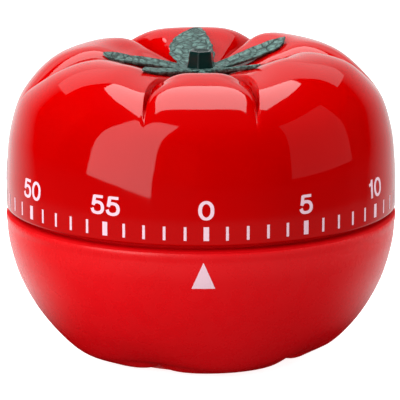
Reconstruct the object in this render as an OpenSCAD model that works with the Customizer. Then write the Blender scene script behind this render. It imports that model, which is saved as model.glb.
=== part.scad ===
// Mechanical sixty-minute kitchen timer with a tomato-shaped casing.
// Millimetres, +Z up, resting on Z = 0, the pointer at the front faces -Y.

/* [Casing] */
// Largest radius of the casing, at the seam
body_radius = 32.2; // [31:0.1:34]
// Height of the turning cap's lower edge
cap_rim_z = 25.2; // [24.8:0.1:25.6]
// Height of the lower shell's upper edge
shell_rim_z = 24.5; // [23.4:0.1:24.8]
// Outer radius of the neck that fills the seam
neck_radius = 30.6; // [29.8:0.1:30.7]
// Height of the top of the neck, inside the cap
neck_top_z = 27.4; // [26.6:0.1:28]
// Outer radius of the foot ring
foot_radius = 14.4; // [13.8:0.1:14.5]
// Inner radius of the foot ring
foot_inner = 12.6; // [12:0.1:13]

/* [Movement] */
// Radius of the movement plates
plate_radius = 21.5; // [20.8:0.1:21.8]
// Top of the bottom plate
bottom_plate_z = 7; // [7:0.1:7.1]
// Underside of the top plate
top_plate_z = 19; // [19:0.1:19.1]
// Thickness of the movement plates
plate_thick = 1; // [0.8:0.1:1]
// Radius of the main arbor through the barrel
arbor_radius = 1.8; // [1.7:0.05:1.9]
// Radius of the small arbors
small_arbor = 0.9; // [0.8:0.05:0.95]
// Radius of the pivots of the small arbors
pivot_radius = 0.5; // [0.4:0.05:0.6]
// Radial clearance of every running fit
run_gap = 0.05; // [0.03:0.01:0.08]
// Radius of the bell cup at its mouth
bell_radius = 24; // [23.6:0.1:24.2]

/* [Gear train] */
// Teeth on every wheel of the going train
wheel_teeth = 60; // [60:6:60]
// Teeth on every pinion of the going train
pinion_teeth = 10; // [10:1:10]
// Module of the great wheel
great_module = 0.36; // [0.36:0.01:0.36]
// Module of the second wheel
second_module = 0.30; // [0.3:0.01:0.3]
// Module of the third wheel
third_module = 0.26; // [0.26:0.01:0.26]
// Module of the alarm gearing
alarm_module = 0.34; // [0.34:0.01:0.34]
// Teeth on the alarm pinion
alarm_pinion_teeth = 12; // [12:1:12]
// Share of the pitch that a tooth fills
tooth_share = 0.42; // [0.36:0.01:0.44]

/* [Hidden] */

red = [0.78, 0.05, 0.05];
green = [0.33, 0.45, 0.42];
brass = [0.78, 0.6, 0.28];
steel = [0.6, 0.6, 0.62];
grey = [0.35, 0.35, 0.36];

kr = body_radius / 32.2;

// Section through a lobe and through a groove of the cap, from the rim to the hole for the calyx.
cap_lobe = [[32.2, cap_rim_z], [32.15, 31], [31.5, 38], [29.4, 44.3], [24.8, 49.2],
            [18.3, 51.2], [13, 49.9], [9, 48.4], [5, 47.2]];
cap_groove = [[32.2, cap_rim_z], [32.15, 31.0], [31.48, 37.8], [29.36, 43.7], [25.0, 46.2],
              [18.5, 46.1], [13, 46.7], [8, 47.1], [5, 47.2]];
cap_lobe_in = [[30.95, cap_rim_z], [30.7, 31], [29.6, 37.6], [27.4, 42.6], [23.4, 46.9],
               [18.2, 48.9], [12.9, 47.4], [8.6, 44.8]];
cap_groove_in = [[30.95, cap_rim_z], [30.4, 30], [29.2, 34.4], [27.0, 38.4], [23.2, 41.2],
                 [18.2, 42.9], [12.9, 44.2], [8.6, 44.8]];
shell_lobe = [[32.2, shell_rim_z], [31.7, 19], [29.9, 13], [26.6, 7.2], [22.2, 2.4],
              [18.0, 0.5], [14.7, 0.5]];
shell_groove = [[32.2, shell_rim_z], [31.7, 19], [29.8, 13], [26.3, 7.4], [21.3, 3.1],
                [17.4, 1.9], [14.7, 1.5]];
shell_lobe_in = [[29.4, 24], [29.3, 19], [27.6, 13.4], [24.4, 8.4], [20.6, 5.2], [17.4, 3.6]];
shell_groove_in = [[29.4, 24], [29.3, 19], [27.2, 13.6], [24.0, 8.7], [20.9, 5.7], [17.4, 3.6]];

// Azimuths of the creases, in degrees from the front towards +X, and each lobe's own height.
cap_creases = [-24, 24, 93, 155, 214, 275, 336];
cap_rise = [-0.8, 0.3, 0, 0, -0.3, -0.5];
// Shift of each lobe's ridge along the lobe.
cap_skew = [0, 0.05, 0, 0, -0.1, -0.11];
shell_creases = [-24, 52, 122, 190, 262, 336];

cap_phases = [0, 0.03, 0.08, 0.16, 0.28, 0.42, 0.58, 0.72, 0.84, 0.92, 0.97];
shell_phases = [0, 0.03, 0.08, 0.16, 0.28, 0.42, 0.58, 0.72, 0.84, 0.92, 0.97];
cap_steps = [0, 0.35, 0.7, 1.1, 1.5, 1.9, 2.3, 2.7, 3.1, 3.5, 3.9, 4.3, 4.7, 5.1, 5.5,
             5.9, 6.3, 6.7, 7.2, 7.6, 8];
cap_in_steps = [7, 6.6, 6.2, 5.8, 5.4, 5, 4.6, 4.2, 3.7, 3.2, 2.6, 2, 1.4, 0.8, 0];
shell_steps = [0, 0.5, 1, 1.4, 1.8, 2.2, 2.6, 3, 3.3, 3.6, 3.9, 4.2, 4.5, 4.8, 5.1, 5.4, 5.7, 6];
shell_in_steps = [5, 4.6, 4.2, 3.8, 3.4, 3, 2.5, 2, 1.5, 1, 0.4];

function cr(a, b, c, d, t) =
  0.5 * (2 * b + (c - a) * t + (2 * a - 5 * b + 4 * c - d) * t * t
         + (3 * b - a - 3 * c + d) * t * t * t);
function curve(p, s) =
  let (n = len(p), i = min(floor(s), n - 2), t = s - i,
       a = i == 0 ? 2 * p[0] - p[1] : p[i - 1],
       d = i == n - 2 ? 2 * p[n - 1] - p[n - 2] : p[i + 2])
  cr(a, p[i], p[i + 1], d, t);
function clamp01(x) = max(0, min(1, x));
function smooth(x) = let (c = clamp01(x)) c * c * (3 - 2 * c);
function round_lobe(c, n) = sqrt(max(0, 1 - pow(1 - c, n)));
function place(r, z, th) = [kr * r * sin(th), -kr * r * cos(th), z];

// The creases of the front lobe draw together towards the rim.
function pinch(s) = 5.5 * smooth((5.2 - s) / 2.4);
function cap_azimuth(s, i, p) =
  let (a = cap_creases[i] + (i == 0 ? 1 : i == 1 ? -1.3 : 0) * pinch(s),
       b = cap_creases[i + 1] + (i == 0 ? -1.3 : i == 5 ? 1 : 0) * pinch(s))
  a + (b - a) * p;
// Share of the lobe's section against the groove's: round front lobe, gentle flanks beside it.
function cap_weight(s, i, q) =
  let (p = q + cap_skew[i] * pow(sin(180 * q), 2), c = sin(180 * p),
       flank = (i == 1 && p < 0.5) || (i == 5 && p > 0.5),
       k = flank || i == 0 ? smooth((s - 2.3) / 1.5) : smooth((s - 2.4) / (i == 1 ? 1.9 : 2.4)),
       n = i == 0 ? 5 - 3 * smooth((s - 3.7) / 1.1) - 2.6 * (1 - smooth((s - 2.8) / 0.8)) : 2.8,
       bed = smooth((s - 3.9) / 1.1) * (1 - smooth((s - 6.6) / 1.0)), f = 0.52 * bed,
       raw = round_lobe(c, n), lifted = f + (1 - f) * (i == 0 ? pow(raw, 1 + 1.6 * bed) : raw),
       step = f + (0.66 - f) * smooth(c / 0.05), k2 = 0.35 * smooth((s - 5.2) / 1.2),
       gentle = step + (1 - step) * pow(c, 1.1),
       upper = flank ? gentle * (1 - k2) + lifted * k2 : i == 0 ? lifted : raw)
  pow(c, 1.2) * (1 - k) + upper * k;
function cap_outer(s, i, p) =
  let (w = cap_weight(s, i, p), g = curve(cap_groove, s), l = curve(cap_lobe, s),
       th = cap_azimuth(s, i, p))
  place(g[0] + (l[0] - g[0]) * w,
        g[1] + (l[1] - g[1]) * w + cap_rise[i] * w * sin(180 * clamp01((s - 1) / 7)), th);
function cap_inner(s, i, p) =
  let (c = sin(180 * p), w = pow(c, 1.7),
       g = curve(cap_groove_in, s), l = curve(cap_lobe_in, s), th = cap_azimuth(s, i, p))
  place(g[0] + (l[0] - g[0]) * w,
        g[1] + (l[1] - g[1]) * w + cap_rise[i] * w * sin(180 * clamp01((s - 1) / 6)), th);
function shell_outer(s, i, p) =
  let (c = sin(180 * p), k = smooth(s - 4.2),
       w = pow(c, 1.8) * (1 - k) + round_lobe(c, 2.4) * k,
       g = curve(shell_groove, s), l = curve(shell_lobe, s),
       th = shell_creases[i] + (shell_creases[i + 1] - shell_creases[i]) * p)
  place(g[0] + (l[0] - g[0]) * w, g[1] + (l[1] - g[1]) * w, th);
function shell_inner(s, i, p) =
  let (c = sin(180 * p), w = pow(c, 1.7),
       g = curve(shell_groove_in, s), l = curve(shell_lobe_in, s),
       th = shell_creases[i] + (shell_creases[i + 1] - shell_creases[i]) * p)
  place(g[0] + (l[0] - g[0]) * w, g[1] + (l[1] - g[1]) * w, th);
function circle_row(r, z, creases, phases) =
  [for (i = [0 : len(creases) - 2]) for (p = phases)
     place(r / kr, z, creases[i] + (creases[i + 1] - creases[i]) * p)];

// Faces of a closed ring of rows: every row has n points, the last row joins the first.
function ring_faces(m, n, flip) =
  [for (i = [0 : m - 1]) for (j = [0 : n - 1]) for (h = [0, 1])
     let (a = i * n + j, b = i * n + (j + 1) % n,
          c = ((i + 1) % m) * n + (j + 1) % n, d = ((i + 1) % m) * n + j)
     h == 0 ? (flip ? [a, b, c] : [a, c, b]) : (flip ? [a, c, d] : [a, d, c])];

module dial_cap() {
  nc = len(cap_creases) - 2;
  rows = concat(
    [for (s = cap_steps) [for (i = [0 : nc]) for (p = cap_phases) cap_outer(s, i, p)]],
    [circle_row(5 * kr, 44.8, cap_creases, cap_phases)],
    [for (s = cap_in_steps) [for (i = [0 : nc]) for (p = cap_phases) cap_inner(s, i, p)]]);
  color(red)
    polyhedron(points = [for (r = rows) for (q = r) q],
               faces = ring_faces(len(rows), len(rows[0]), false), convexity = 8);
}

module lower_shell() {
  nc = len(shell_creases) - 2;
  rows = concat(
    [for (s = shell_steps) [for (i = [0 : nc]) for (p = shell_phases) shell_outer(s, i, p)]],
    [circle_row(14.7 * kr, 3.6, shell_creases, shell_phases)],
    [for (s = shell_in_steps) [for (i = [0 : nc]) for (p = shell_phases) shell_inner(s, i, p)]],
    [circle_row(29.2 * kr, neck_top_z, shell_creases, shell_phases)],
    [circle_row(neck_radius, neck_top_z, shell_creases, shell_phases)],
    [circle_row(neck_radius, shell_rim_z, shell_creases, shell_phases)]);
  color(red)
    polyhedron(points = [for (r = rows) for (q = r) q],
               faces = ring_faces(len(rows), len(rows[0]), true), convexity = 8);
}

// Calyx leaves: azimuth, length, half width, height of the tip, lift of the middle, twist of the tip.
leaves = [[180, 16.3, 3.6, 51.5, 0.5, 0], [113.5, 15.7, 1.9, 51.7, 0.1, 3], [35, 16.3, 1.6, 51.3, 0.2, 0],
          [-33, 17.4, 1.9, 50.9, 0.2, 0], [-90.5, 16.0, 2.0, 50.5, 0.4, 2]];
leaf_steps = [0, 0.15, 0.3, 0.45, 0.6, 0.75, 0.88, 1];
leaf_start = 2.5;
leaf_foot_z = 48.0;
leaf_thick = 0.6;

function leaf_row(l, t) =
  let (r = leaf_start + (l[1] - leaf_start) * t,
       w = l[2] * (0.12 + 0.88 * pow(sin(180 * pow(0.12 + 0.88 * t, 0.8)), 0.75)) * (t < 1 ? 1 : 0.9),
       z = leaf_foot_z + (l[3] - leaf_foot_z) * pow(t, 1.25) + l[4] * sin(180 * t),
       th = l[0] + l[5] * t * t, u = [sin(th), -cos(th), 0], v = [cos(th), sin(th), 0],
       m = u * r, b = leaf_thick)
  [m - v * w + [0, 0, z + 0.15], m + [0, 0, z - 0.1], m + v * w + [0, 0, z + 0.15],
   m + v * w + [0, 0, z + 0.45], m + [0, 0, z - 0.1 + b], m - v * w + [0, 0, z + 0.45]];

module leaf(l) {
  n = len(leaf_steps);
  pts = [for (t = leaf_steps) for (q = leaf_row(l, t)) q];
  sides = [for (i = [0 : n - 2]) for (j = [0 : 5]) for (h = [0, 1])
             let (a = i * 6 + j, b = i * 6 + (j + 1) % 6, c = a + 6, d = b + 6)
             h == 0 ? [a, d, b] : [a, c, d]];
  e = (n - 1) * 6;
  ends = [[0, 1, 5], [1, 4, 5], [1, 2, 4], [2, 3, 4],
          [e, e + 5, e + 1], [e + 1, e + 5, e + 4], [e + 1, e + 4, e + 2], [e + 2, e + 4, e + 3]];
  polyhedron(points = pts, faces = concat(sides, ends), convexity = 4);
}

module calyx() {
  color(green) {
    for (l = leaves) {
      leaf(l);
    }
    translate([0, 0, 47.6]) cylinder(r = 5.2, h = 0.9, $fn = 64);
    translate([0, 0, 45]) cylinder(r = 4.4, h = 2.8, $fn = 64);
    translate([0, 0, 41.2]) cylinder(r = 2, h = 4, $fn = 64);
    translate([0, 0, 48.2]) cylinder(r1 = 2.3, r2 = 1.8, h = 3.4, $fn = 6);
  }
}

module dial_hub() {
  color(red) difference() {
    rotate_extrude($fn = 96)
      polygon([[0, 33], [3.8, 33], [3.8, 42.6], [8.2, 42.9], [8.2, 44.8], [4.8, 44.8], [4.8, 45], [0, 45]]);
    translate([0, 0, 41]) cylinder(r = 2 + run_gap, h = 5, $fn = 64);
    difference() {
      translate([0, 0, 32]) cylinder(r = 1.6 + run_gap, h = 9.5, $fn = 64);
      translate([1.1 + run_gap, -3, 33.6]) cube([3, 6, 9]);
    }
  }
}

module base_plate() {
  color(red) difference() {
    union() {
      rotate_extrude($fn = 128)
        polygon([[0, 2.4], [foot_inner, 2.4], [foot_inner, 0], [foot_radius, 0],
                 [foot_radius, 3.6], [16.9, 3.6], [16.9, 4.8], [0, 4.8]]);
      for (a = [60, 180, 300]) {
        rotate([0, 0, a]) translate([9, 0, 4.4]) cylinder(r = 3.2, h = 1.6, $fn = 64);
      }
    }
    for (a = [60, 180, 300]) {
      rotate([0, 0, a]) translate([9, 0, 1]) cylinder(r = 2.4, h = 3.6, $fn = 64);
      rotate([0, 0, a]) translate([9, 0, 4]) cylinder(r = 1.0, h = 3, $fn = 64);
    }
  }
}

module base_screws() {
  color(steel) for (a = [60, 180, 300]) {
    rotate([0, 0, a]) translate([9, 0, 0]) difference() {
      union() {
        translate([0, 0, 3.1]) cylinder(r = 2.1, h = 1.5, $fn = 64);
        translate([0, 0, 4.6]) cylinder(r = 0.85, h = 2.8, $fn = 48);
      }
      rotate([0, 0, a * 1.7]) translate([-1.4, -0.25, 3]) cube([2.8, 0.5, 0.8]);
      rotate([0, 0, a * 1.7]) translate([-0.25, -1.4, 3]) cube([0.5, 2.8, 0.8]);
    }
  }
}

// Arbor positions of the movement.
function law(a, b, c) = acos((a * a + b * b - c * c) / (2 * a * b));
c1 = great_module * (wheel_teeth + pinion_teeth) / 2;
c2 = second_module * (wheel_teeth + pinion_teeth) / 2;
c3 = third_module * (wheel_teeth + pinion_teeth) / 2;
c4 = 6.2;
c5 = alarm_module * (wheel_teeth + alarm_pinion_teeth) / 2;
c6 = 7.2;
az2 = 20;
az3 = az2 + law(c1, 15.5, c2);
az4 = az3 + law(15.5, 14.8, c3);
az5 = az4 + law(14.8, 15, c4);
az6 = 200;
az7 = az6 + law(c5, 17, c6);
function polar(r, a) = [r * cos(a), r * sin(a), 0];
at2 = polar(c1, az2);
at3 = polar(15.5, az3);
at4 = polar(14.8, az4);
at5 = polar(15, az5);
at6 = polar(c5, az6);
at7 = polar(17, az7);
lever_at = [9.6, -2.67, 0];
pillars = [-20, 150, 250];

function dir(p, q) = atan2(q[1] - p[1], q[0] - p[0]);
// Turn of a wheel of nb teeth so that it meshes with one of na teeth turned by fa, placed in direction b.
function mesh_turn(na, fa, nb, b) = b + 180 - (360 / nb) * (0.5 - (b - fa) * na / 360);

// Involute tooth outline.
function half_angle(n, m, r) =
  let (rp = n * m / 2, rb = rp * cos(25), q = max(r, rb * 1.0001), aq = acos(rb / q))
  180 * tooth_share / n + (tan(25) * 180 / PI - 25) - (tan(aq) * 180 / PI - aq);
function tooth(n, m, c) =
  let (rp = n * m / 2, rf = rp - 1.05 * m, rt = rp + 0.8 * m, rm = max(rf, rp * cos(25) * 1.001),
       f = half_angle(n, m, rf), g = half_angle(n, m, rm), h = half_angle(n, m, rp),
       q = half_angle(n, m, rp + 0.4 * m), k = half_angle(n, m, rt))
  n > 20
    ? [polar(rf, c - f), polar(rp, c - h), polar(rt, c - k),
       polar(rt, c + k), polar(rp, c + h), polar(rf, c + f)]
    : [polar(rf, c - f), polar(rm, c - g), polar(rp, c - h), polar(rp + 0.4 * m, c - q), polar(rt, c - k),
       polar(rt, c + k), polar(rp + 0.4 * m, c + q), polar(rp, c + h), polar(rm, c + g), polar(rf, c + f)];
module gear(n, m, turn, h) {
  linear_extrude(height = h)
    polygon([for (i = [0 : n - 1]) for (q = tooth(n, m, turn + i * 360 / n)) [q[0], q[1]]]);
}

// Small arbor between the plates, with a pivot at each end.
module arbor() {
  translate([0, 0, bottom_plate_z + 0.05])
    cylinder(r = small_arbor, h = top_plate_z - bottom_plate_z - 0.1, $fn = 48);
  translate([0, 0, bottom_plate_z - plate_thick + 0.05])
    cylinder(r = pivot_radius, h = top_plate_z - bottom_plate_z + 2 * plate_thick - 0.1, $fn = 48);
}

// Bar with square ends from p to q, at height z.
module bar(p, q, w, z, h) {
  l = sqrt(pow(q[0] - p[0], 2) + pow(q[1] - p[1], 2));
  translate([p[0], p[1], z]) rotate([0, 0, dir(p, q)]) translate([0, -w / 2, 0]) cube([l, w, h]);
}

module bottom_plate() {
  color(brass) difference() {
    translate([0, 0, bottom_plate_z - plate_thick]) cylinder(r = plate_radius - 0.9, h = plate_thick, $fn = 128);
    translate([0, 0, 4]) cylinder(r = 1.1 + run_gap, h = 6, $fn = 48);
    for (p = [at2, at3, at4, at5, at6, at7]) {
      translate([p[0], p[1], 4]) cylinder(r = pivot_radius + run_gap, h = 6, $fn = 48);
    }
    for (a = [60, 180, 300]) {
      rotate([0, 0, a]) translate([9, 0, 4]) cylinder(r = 0.9, h = 6, $fn = 48);
    }
    for (a = pillars) {
      rotate([0, 0, a]) translate([18.5, 0, 4]) cylinder(r = 1 + run_gap, h = 6, $fn = 48);
    }
  }
}

module top_plate() {
  color(brass) {
    difference() {
      translate([0, 0, top_plate_z]) cylinder(r = plate_radius, h = plate_thick, $fn = 128);
      translate([0, 0, 18]) cylinder(r = 1.6 + run_gap, h = 4, $fn = 48);
      for (p = [at2, at3, at4, at5, at6]) {
        translate([p[0], p[1], 18]) cylinder(r = pivot_radius + run_gap, h = 4, $fn = 48);
      }
      translate([at7[0], at7[1], 18]) cylinder(r = small_arbor + run_gap, h = 4, $fn = 48);
      for (a = pillars) {
        rotate([0, 0, a]) translate([18.5, 0, 18]) cylinder(r = 1 + run_gap, h = 4, $fn = 48);
      }
      // Window over the balance, so that its beat can be set.
      for (a = [az5 - 8, az5 + 14]) {
        rotate([0, 0, a]) translate([18.4, 0, 18]) cylinder(r = 1.5, h = 4, $fn = 48);
      }
    }
    translate([lever_at[0], lever_at[1], top_plate_z - 1.5]) cylinder(r = 0.7, h = 1.6, $fn = 48);
  }
}

module plate_pillars() {
  color(steel) for (a = pillars) {
    rotate([0, 0, a]) translate([18.5, 0, 0]) {
      translate([0, 0, bottom_plate_z]) cylinder(r = 1.6, h = top_plate_z - bottom_plate_z, $fn = 48);
      translate([0, 0, bottom_plate_z - plate_thick])
        cylinder(r = 1, h = top_plate_z - bottom_plate_z + plate_thick + 2, $fn = 48);
    }
  }
}

module plate_nuts() {
  color(steel) for (a = pillars) {
    rotate([0, 0, a]) translate([18.5, 0, top_plate_z + plate_thick]) difference() {
      cylinder(r = 1.9, h = 0.9, $fn = 6);
      translate([0, 0, -1]) cylinder(r = 1 + run_gap, h = 4, $fn = 48);
    }
  }
}

module main_arbor() {
  color(steel) difference() {
    union() {
      translate([0, 0, 6.05]) cylinder(r = 1.1, h = 2, $fn = 48);
      translate([0, 0, 7.1]) cylinder(r = 1.6, h = 33.3, $fn = 48);
      translate([0, 0, 9]) cylinder(r = arbor_radius, h = 8.6, $fn = 48);
      translate([0, 0, 9]) cylinder(r = 2.6, h = 0.2, $fn = 48);
    }
    translate([1.1, -3, 33.5]) cube([3, 6, 8]);
  }
}

module great_wheel() {
  color(brass) {
    difference() {
      translate([0, 0, 8]) gear(wheel_teeth, great_module, 0, 1);
      translate([0, 0, 7]) cylinder(r = 1.62, h = 3, $fn = 48);
      for (a = [30 : 60 : 330]) {
        rotate([0, 0, a]) translate([8.6, 0, 7]) cylinder(r = 1, h = 3, $fn = 48);
      }
    }
    rotate([0, 0, 250]) translate([5.6, 0, 8.5]) cylinder(r = 0.6, h = 1.7, $fn = 48);
    rotate([0, 0, 205]) translate([5.9, 0, 8.5]) cylinder(r = 0.5, h = 1.7, $fn = 48);
  }
}

ratchet_teeth = 16;
module ratchet_wheel() {
  color(steel) difference() {
    translate([0, 0, 9.2]) linear_extrude(height = 0.9)
      polygon([for (i = [0 : ratchet_teeth - 1]) for (k = [0, 1])
                 let (a = (i + (k == 0 ? 0 : 0.06)) * 360 / ratchet_teeth + 3) 
                 k == 0 ? [2.9 * cos(a), 2.9 * sin(a)] : [3.6 * cos(a), 3.6 * sin(a)]]);
    translate([0, 0, 9]) cylinder(r = arbor_radius + 0.02, h = 2, $fn = 48);
  }
}

click_at = [5.6 * cos(250), 5.6 * sin(250), 0];
module click() {
  color(steel) difference() {
    union() {
      translate([click_at[0], click_at[1], 9.15]) cylinder(r = 1.0, h = 0.8, $fn = 48);
      bar(click_at, polar(4.15, 292), 0.8, 9.15, 0.8);
      bar(polar(4.3, 288), polar(3.72, 293), 0.5, 9.15, 0.8);
    }
    translate([click_at[0], click_at[1], 9]) cylinder(r = 0.6 + run_gap, h = 2, $fn = 48);
  }
}

module click_spring() {
  color(steel) {
    difference() {
      translate([5.9 * cos(205), 5.9 * sin(205), 9.0]) cylinder(r = 0.85, h = 0.9, $fn = 48);
      translate([5.9 * cos(205), 5.9 * sin(205), 8.5]) cylinder(r = 0.53, h = 2, $fn = 48);
    }
    bar(polar(6.62, 206), polar(6.95, 252), 0.22, 9.0, 0.9);
  }
}

f_p2 = mesh_turn(wheel_teeth, 0, pinion_teeth, az2);
b23 = dir(at2, at3);
f_p3 = mesh_turn(wheel_teeth, f_p2, pinion_teeth, b23);
b34 = dir(at3, at4);
f_p4 = mesh_turn(wheel_teeth, f_p3, pinion_teeth, b34);
f_p6 = mesh_turn(wheel_teeth, 0, alarm_pinion_teeth, az6);

module crossings(r_in, r_out, n, h) {
  for (i = [0 : n - 1]) {
    rotate([0, 0, (i + 0.5) * 360 / n]) translate([(r_in + r_out) / 2, 0, 0])
      cylinder(r = (r_out - r_in) / 2, h = h, $fn = 48);
  }
}

module second_wheel() {
  color(brass) translate([at2[0], at2[1], 0]) {
    arbor();
    translate([0, 0, 7.6]) gear(pinion_teeth, great_module, f_p2, 1.8);
    translate([0, 0, 11.2]) difference() {
      gear(wheel_teeth, second_module, f_p2, 0.8);
      translate([0, 0, -1]) crossings(2.6, 7.6, 5, 3);
    }
  }
}

module third_wheel() {
  color(brass) translate([at3[0], at3[1], 0]) {
    arbor();
    translate([0, 0, 10.8]) gear(pinion_teeth, second_module, f_p3, 1.6);
    translate([0, 0, 9.6]) difference() {
      gear(wheel_teeth, third_module, f_p3, 0.8);
      translate([0, 0, -1]) crossings(2.2, 6.6, 5, 3);
    }
  }
}

escape_teeth = 20;
pin_escape = 4.85;
dir45 = dir(at4, at5);
module escape_wheel() {
  turn = dir45;
  color(brass) translate([at4[0], at4[1], 0]) {
    arbor();
    translate([0, 0, 9.2]) gear(pinion_teeth, third_module, f_p4, 1.6);
    translate([0, 0, 13]) difference() {
      linear_extrude(height = 0.8)
        polygon([for (i = [0 : escape_teeth - 1]) for (k = [-0.26, -0.05, 0.05, 0.26])
                   let (a = turn + (i + k) * 360 / escape_teeth, r = abs(k) < 0.1 ? 4.6 : 3.8)
                   [r * cos(a), r * sin(a)]]);
      translate([0, 0, -1]) crossings(1.5, 3.3, 4, 3);
    }
  }
}

module pallet_lever() {
  color(steel) {
    translate([at5[0], at5[1], 0]) arbor();
    for (s = [-1, 1]) {
      p = at4 + polar(pin_escape, dir45 + s * 40.5);
      translate([p[0], p[1], 12.9]) cylinder(r = 0.16, h = 1.4, $fn = 32);
      translate([p[0], p[1], 14.1]) cylinder(r = 0.5, h = 0.5, $fn = 32);
      bar(at5, p, 0.9, 14.1, 0.5);
    }
    translate([at5[0], at5[1], 14.1]) cylinder(r = 1.5, h = 0.9, $fn = 48);
  }
}

balance_reach = 4.3;
module balance_bar() {
  color(brass) translate([at5[0], at5[1], 15]) rotate([0, 0, az5 + 90]) difference() {
    union() {
      translate([-balance_reach, -0.6, 0]) cube([2 * balance_reach, 1.2, 0.8]);
      for (s = [-1, 1]) translate([s * balance_reach, 0, 0]) cylinder(r = 1, h = 0.8, $fn = 48);
      cylinder(r = 1.4, h = 0.8, $fn = 48);
    }
    translate([0, 0, -1]) cylinder(r = small_arbor + 0.02, h = 3, $fn = 48);
  }
}

module mainspring_barrel() {
  color(brass) difference() {
    union() {
      translate([0, 0, 12.6]) cylinder(r = 8.5, h = 4.8, $fn = 96);
      translate([0, 0, 16.6]) gear(wheel_teeth, alarm_module, 0, 0.8);
    }
    translate([0, 0, 12]) cylinder(r = arbor_radius + run_gap, h = 6, $fn = 48);
    translate([0, 0, 13.2]) cylinder(r = 7.5, h = 5, $fn = 96);
    translate([0, 0, 16.8]) cylinder(r = 7.9, h = 2, $fn = 96);
  }
}

module barrel_cover() {
  color(brass) difference() {
    translate([0, 0, 16.8]) cylinder(r = 7.85, h = 0.6, $fn = 96);
    translate([0, 0, 16]) cylinder(r = arbor_radius + run_gap, h = 3, $fn = 48);
    translate([5, 0, 16]) cylinder(r = 0.8, h = 3, $fn = 48);
  }
}

spring_turns = 5;
spring_steps = 28;
module mainspring() {
  n = spring_turns * spring_steps;
  color(grey) translate([0, 0, 13.2]) linear_extrude(height = 3.2)
    polygon(concat(
      [for (i = [0 : n]) let (a = i * 360 / spring_steps, r = 2.5 + 4.6 * i / n) [r * cos(a), r * sin(a)]],
      [for (i = [n : -1 : 0]) let (a = i * 360 / spring_steps, r = 2.85 + 4.6 * i / n) [r * cos(a), r * sin(a)]]));
}

star_teeth = 12;
pin_star = 5.8;
dir67 = dir(at6, at7);
module alarm_wheel() {
  turn = dir67 + 1.25 * 360 / star_teeth;
  color(steel) translate([at6[0], at6[1], 0]) {
    arbor();
    translate([0, 0, 16.4]) gear(alarm_pinion_teeth, alarm_module, f_p6, 1.2);
    translate([0, 0, 10.4]) linear_extrude(height = 0.8)
      polygon([for (i = [0 : star_teeth - 1]) for (k = [-0.3, -0.06, 0.06, 0.3])
                 let (a = turn + (i + k) * 360 / star_teeth, r = abs(k) < 0.1 ? 5.5 : 4.3)
                 [r * cos(a), r * sin(a)]]);
  }
}

hammer_head = at7 + polar(11.2, az7 + 180 - 90);
module hammer() {
  color(steel) {
    translate([at7[0], at7[1], bottom_plate_z + 0.05]) cylinder(r = small_arbor, h = 15.1, $fn = 48);
    translate([at7[0], at7[1], bottom_plate_z - plate_thick + 0.05]) cylinder(r = pivot_radius, h = 3, $fn = 48);
    for (s = [-1, 1]) {
      p = at6 + polar(pin_star, dir67 + s * 37.5);
      translate([p[0], p[1], 9.4]) cylinder(r = 0.25, h = 1.8, $fn = 32);
      translate([p[0], p[1], 9.4]) cylinder(r = 0.6, h = 0.6, $fn = 32);
      bar(at7, p, 1.1, 9.4, 0.6);
    }
    translate([at7[0], at7[1], 9.4]) cylinder(r = 1.7, h = 0.6, $fn = 48);
    translate([at7[0], at7[1], 21.3]) cylinder(r = 1.7, h = 0.8, $fn = 48);
    bar(at7, hammer_head, 1, 21.3, 0.8);
    translate([hammer_head[0], hammer_head[1], 21.1]) cylinder(r = 1.5, h = 1.3, $fn = 48);
  }
}

module alarm_cam() {
  color(brass) difference() {
    union() {
      translate([0, 0, 17.6]) cylinder(r = 2.6, h = 0.4, $fn = 48);
      translate([0, 0, 17.8]) cylinder(r = 4, h = 0.8, $fn = 96);
    }
    translate([0, 0, 17]) cylinder(r = 1.62, h = 3, $fn = 48);
    rotate([0, 0, 280]) translate([4.4, 0, 17]) cylinder(r = 1.7, h = 3, $fn = 48);
  }
}

nose = polar(4.5, 280);
lever_knee = polar(5.6, 280);
module release_lever() {
  color(steel) difference() {
    union() {
      translate([lever_at[0], lever_at[1], 17.9]) cylinder(r = 1.5, h = 0.6, $fn = 48);
      bar(lever_at, lever_knee, 1.2, 17.9, 0.6);
      translate([lever_knee[0], lever_knee[1], 17.9]) cylinder(r = 0.7, h = 0.6, $fn = 48);
      bar(lever_knee, nose, 0.7, 17.9, 0.6);
      translate([nose[0], nose[1], 17.9]) cylinder(r = 0.45, h = 0.6, $fn = 48);
    }
    translate([lever_at[0], lever_at[1], 17]) cylinder(r = 0.7 + run_gap, h = 3, $fn = 48);
  }
}

module lever_spring() {
  post = [6.2, -10.6, 0];
  color(steel) {
    translate([post[0], post[1], 17.9]) cylinder(r = 0.8, h = 1.1, $fn = 48);
    bar([6.2, -10.2, 0], [4.55, -5.75, 0], 0.25, 17.9, 0.6);
  }
}

module bell_post() {
  color(steel) difference() {
    union() {
      translate([0, 0, top_plate_z + plate_thick]) cylinder(r = 4.4, h = 1.2, $fn = 64);
      translate([0, 0, top_plate_z + plate_thick]) cylinder(r = 3.4, h = 8.2, $fn = 64);
      translate([0, 0, top_plate_z + plate_thick]) cylinder(r = 2.7, h = 11, $fn = 64);
    }
    translate([0, 0, 18]) cylinder(r = 2, h = 16, $fn = 48);
  }
}

module bell_cup() {
  color(steel) rotate_extrude($fn = 128)
    polygon([[2.75, 28.2], [9, 28.2], [15, 27.6], [19.5, 26.0], [22.2, 23.8], [23.2, 20.8],
             [bell_radius, 20.8], [23.0, 24.2], [20.1, 26.7], [15.2, 28.4], [9, 29], [2.75, 29]]);
}

module bell_nut() {
  color(brass) translate([0, 0, 29]) difference() {
    cylinder(r = 4.6, h = 1.6, $fn = 6);
    translate([0, 0, -1]) cylinder(r = 2.75, h = 4, $fn = 48);
  }
}

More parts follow.
